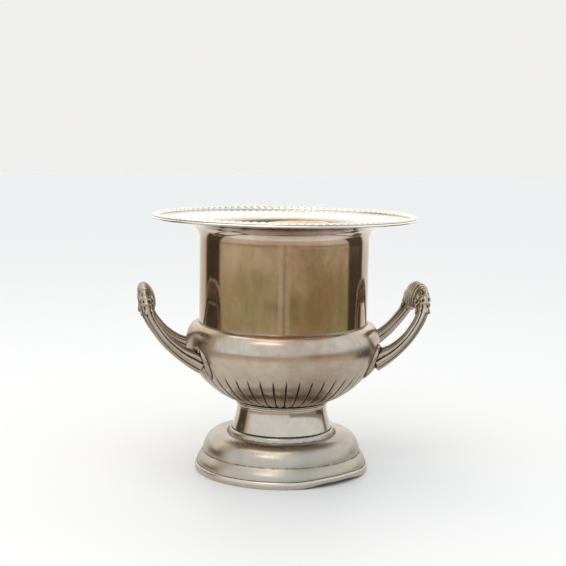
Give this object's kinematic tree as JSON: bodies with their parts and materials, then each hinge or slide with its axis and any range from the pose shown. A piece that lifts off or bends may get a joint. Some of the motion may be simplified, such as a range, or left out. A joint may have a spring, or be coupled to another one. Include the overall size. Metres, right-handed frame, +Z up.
{
  "type": "champagne bucket",
  "caption": "Urn-shaped silver-plated champagne bucket: straight well with a wide rolled rim, lobed bowl, bolted pedestal foot and cast loop handles with leaf crowns.",
  "frame": {"origin": "centre of the ring that the foot stands on", "axes": "+Z up through the middle of the bucket; the two handles lie along +X and -X"},
  "size_m": [0.2706, 0.248, 0.2412],
  "materials": {
    "well_silver": "worn silver plate on spun brass, warm where the plate is thin",
    "bowl_silver": "worn silver plate with darkened chasing",
    "foot_silver": "worn, scratched silver plate",
    "cast_silver": "silver-plated casting, dark in the hollows",
    "solder": "soft solder, dull",
    "bare_metal": "unplated brass",
    "steel": "zinc-plated steel"
  },
  "bodies": {
    "root": {"body_shell": "well_silver", "rim_core_wire": "bare_metal", "rim_border": "cast_silver", "bowl_shell": "bowl_silver", "seam_solder": "solder", "stud_plate": "bare_metal", "foot_stud": "bare_metal", "neck_ring": "cast_silver", "foot_shell": "foot_silver", "foot_edge_band": "foot_silver", "clamp_plate": "bare_metal", "spring_washer": "steel", "foot_nut": "steel", "handle_right": "cast_silver", "handle_left": "cast_silver", "handle_right_solder": "solder", "handle_left_solder": "solder"}
  },
  "joints": []
}
